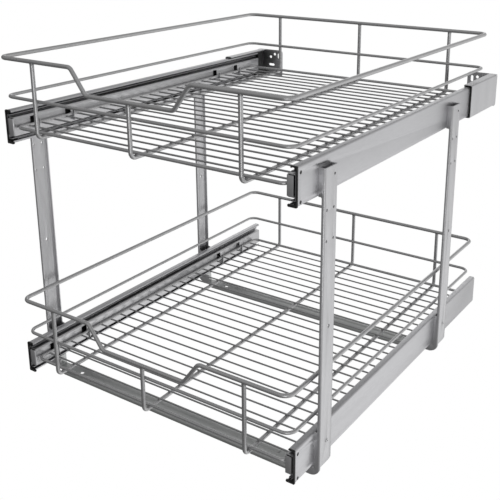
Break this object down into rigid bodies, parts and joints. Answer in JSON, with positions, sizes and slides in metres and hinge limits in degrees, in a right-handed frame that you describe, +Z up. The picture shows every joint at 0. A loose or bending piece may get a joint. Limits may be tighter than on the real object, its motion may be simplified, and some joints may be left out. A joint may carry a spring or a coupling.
{
  "type": "pull out cabinet basket",
  "caption": "Two-tier wire basket pull-out for a kitchen cabinet: each basket runs on telescopic side rails carried by posts on floor cross members.",
  "frame": {"origin": "centre of the bounding box at the cabinet floor, which the cross members stand on", "axes": "+X is the right-hand side seen from the front, +Y is towards the back of the cabinet, +Z is up; the baskets pull out towards -Y"},
  "size_m": [0.4272, 0.5436, 0.435],
  "materials": {
    "wire_nickel": "satin nickel plating",
    "thin_wire_nickel": "satin nickel plating",
    "rail_steel": "zinc plating, satin",
    "inner_steel": "zinc plating, satin",
    "frame_steel": "zinc plating, satin",
    "cross_member_steel": "zinc plating, satin",
    "rivet_steel": "zinc plating",
    "ball_steel": "polished",
    "cage_plastic": "moulded",
    "black_plastic": "moulded, satin"
  },
  "bodies": {
    "frame": {"left_front_post": "frame_steel", "right_front_post": "frame_steel", "left_rear_post": "frame_steel", "right_rear_post": "frame_steel", "front_cross_member": "cross_member_steel", "rear_cross_member": "cross_member_steel", "cross_member_rivets": "rivet_steel", "left_rear_bracket": "frame_steel", "right_rear_bracket": "frame_steel", "left_bracket_socket": "black_plastic", "right_bracket_socket": "black_plastic", "upper_left_outer_rail": "rail_steel", "upper_right_outer_rail": "rail_steel", "lower_left_outer_rail": "rail_steel", "lower_right_outer_rail": "rail_steel", "upper_left_end_cap": "black_plastic", "upper_right_end_cap": "black_plastic", "lower_left_end_cap": "black_plastic", "lower_right_end_cap": "black_plastic"},
    "upper_basket": {"upper_left_inner_rail": "inner_steel", "upper_right_inner_rail": "inner_steel", "upper_rim": "wire_nickel", "upper_middle_ring": "wire_nickel", "upper_floor_ring": "wire_nickel", "upper_u_wires": "wire_nickel", "upper_floor_wires": "thin_wire_nickel"},
    "upper_middle_rails": {"upper_left_middle_rail": "inner_steel", "upper_right_middle_rail": "inner_steel"},
    "upper_outer_race": {"upper_outer_ball_cages": "cage_plastic", "upper_outer_balls": "ball_steel"},
    "upper_inner_race": {"upper_inner_ball_cages": "cage_plastic", "upper_inner_balls": "ball_steel"},
    "lower_basket": {"lower_left_inner_rail": "inner_steel", "lower_right_inner_rail": "inner_steel", "lower_rim": "wire_nickel", "lower_middle_ring": "wire_nickel", "lower_floor_ring": "wire_nickel", "lower_u_wires": "wire_nickel", "lower_floor_wires": "thin_wire_nickel"},
    "lower_middle_rails": {"lower_left_middle_rail": "inner_steel", "lower_right_middle_rail": "inner_steel"},
    "lower_outer_race": {"lower_outer_ball_cages": "cage_plastic", "lower_outer_balls": "ball_steel"},
    "lower_inner_race": {"lower_inner_ball_cages": "cage_plastic", "lower_inner_balls": "ball_steel"}
  },
  "joints": [
    {"name": "upper_basket_slide", "type": "slide", "parent": "frame", "child": "upper_basket", "axis": [0, -1, 0], "range_m": [0, 0.5]},
    {"name": "upper_middle_slide", "type": "slide", "parent": "frame", "child": "upper_middle_rails", "axis": [0, -1, 0], "range_m": [0, 0.25]},
    {"name": "upper_outer_race_slide", "type": "slide", "parent": "frame", "child": "upper_outer_race", "axis": [0, -1, 0], "range_m": [0, 0.125]},
    {"name": "upper_inner_race_slide", "type": "slide", "parent": "frame", "child": "upper_inner_race", "axis": [0, -1, 0], "range_m": [0, 0.375]},
    {"name": "lower_basket_slide", "type": "slide", "parent": "frame", "child": "lower_basket", "axis": [0, -1, 0], "range_m": [0, 0.5]},
    {"name": "lower_middle_slide", "type": "slide", "parent": "frame", "child": "lower_middle_rails", "axis": [0, -1, 0], "range_m": [0, 0.25]},
    {"name": "lower_outer_race_slide", "type": "slide", "parent": "frame", "child": "lower_outer_race", "axis": [0, -1, 0], "range_m": [0, 0.125]},
    {"name": "lower_inner_race_slide", "type": "slide", "parent": "frame", "child": "lower_inner_race", "axis": [0, -1, 0], "range_m": [0, 0.375]}
  ],
  "couplings": [
    {"joint": "upper_middle_slide", "follows": "upper_basket_slide", "ratio": 0.5},
    {"joint": "upper_outer_race_slide", "follows": "upper_basket_slide", "ratio": 0.25},
    {"joint": "upper_inner_race_slide", "follows": "upper_basket_slide", "ratio": 0.75},
    {"joint": "lower_middle_slide", "follows": "lower_basket_slide", "ratio": 0.5},
    {"joint": "lower_outer_race_slide", "follows": "lower_basket_slide", "ratio": 0.25},
    {"joint": "lower_inner_race_slide", "follows": "lower_basket_slide", "ratio": 0.75}
  ]
}
